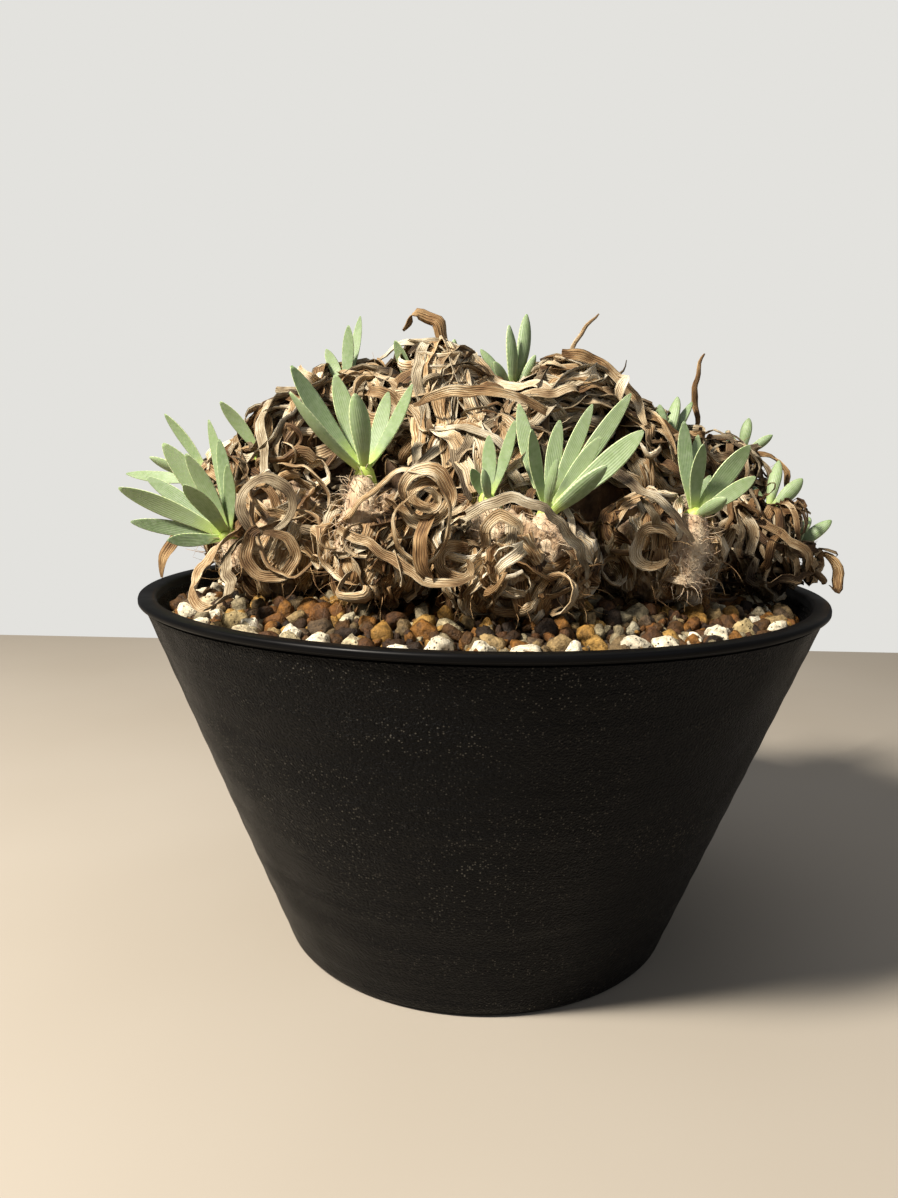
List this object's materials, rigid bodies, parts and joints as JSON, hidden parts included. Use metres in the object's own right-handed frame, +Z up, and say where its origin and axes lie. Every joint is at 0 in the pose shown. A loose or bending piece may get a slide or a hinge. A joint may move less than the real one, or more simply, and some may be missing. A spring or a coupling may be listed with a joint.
{
  "type": "potted othonna succulent",
  "caption": "Clump-forming succulent with a mound of curled dry leaves and small green rosettes, in a round black plastic pot of gritty mix.",
  "frame": {"origin": "middle of the pot's flat underside, on the surface that the pot stands on", "axes": "+Z up along the pot axis, -Y to the front that the picture shows, +X to the right seen from the front"},
  "size_m": [0.1624, 0.155, 0.1419],
  "materials": {
    "pot": "injection-moulded black polypropylene, satin lip over a finely pebbled wall",
    "potting_mix": "dry gritty mix of ochre, brown and grey grains with pale pitted pumice",
    "caudex_bark": "rough dark bark",
    "dead_leaf": "dry curled strap leaves with raised ribs, straw edges and brown middles",
    "living_leaf": "fleshy glaucous green blade with a thin pale margin"
  },
  "bodies": {
    "root": {"pot": "pot", "potting_mix": "potting_mix", "caudex": "caudex_bark", "dead_leaves_front_left": "dead_leaf", "rosette_front_left": "living_leaf", "dead_leaves_front_centre_left": "dead_leaf", "rosette_front_centre_left": "living_leaf", "dead_leaves_front_centre": "dead_leaf", "rosette_front_centre": "living_leaf", "rosette_front_centre_2": "living_leaf", "dead_leaves_middle_front": "dead_leaf", "dead_leaves_front_right": "dead_leaf", "rosette_front_right": "living_leaf", "dead_leaves_right": "dead_leaf", "rosette_right": "living_leaf", "rosette_right_2": "living_leaf", "dead_leaves_middle_left": "dead_leaf", "rosette_middle_left": "living_leaf", "dead_leaves_crown_left": "dead_leaf", "rosette_crown_left": "living_leaf", "dead_leaves_crown_right": "dead_leaf", "rosette_crown_right": "living_leaf", "dead_leaves_middle_right": "dead_leaf", "rosette_middle_right": "living_leaf", "dead_leaves_right_shoulder": "dead_leaf", "rosette_right_shoulder": "living_leaf", "dead_leaves_left_shoulder": "dead_leaf", "rosette_left_shoulder": "living_leaf", "dead_leaves_left": "dead_leaf", "rosette_left": "living_leaf", "dead_leaves_back_left_high": "dead_leaf", "rosette_back_left_high": "living_leaf", "dead_leaves_crown_back": "dead_leaf", "rosette_crown_back": "living_leaf", "dead_leaves_back_right_high": "dead_leaf", "rosette_back_right_high": "living_leaf", "dead_leaves_back_right_low": "dead_leaf", "rosette_back_right_low": "living_leaf", "dead_leaves_back_centre_left": "dead_leaf", "rosette_back_centre_left": "living_leaf", "dead_leaves_back_centre_right": "dead_leaf", "rosette_back_centre_right": "living_leaf", "dead_leaves_back_left_low": "dead_leaf", "rosette_back_left_low": "living_leaf"}
  },
  "joints": []
}
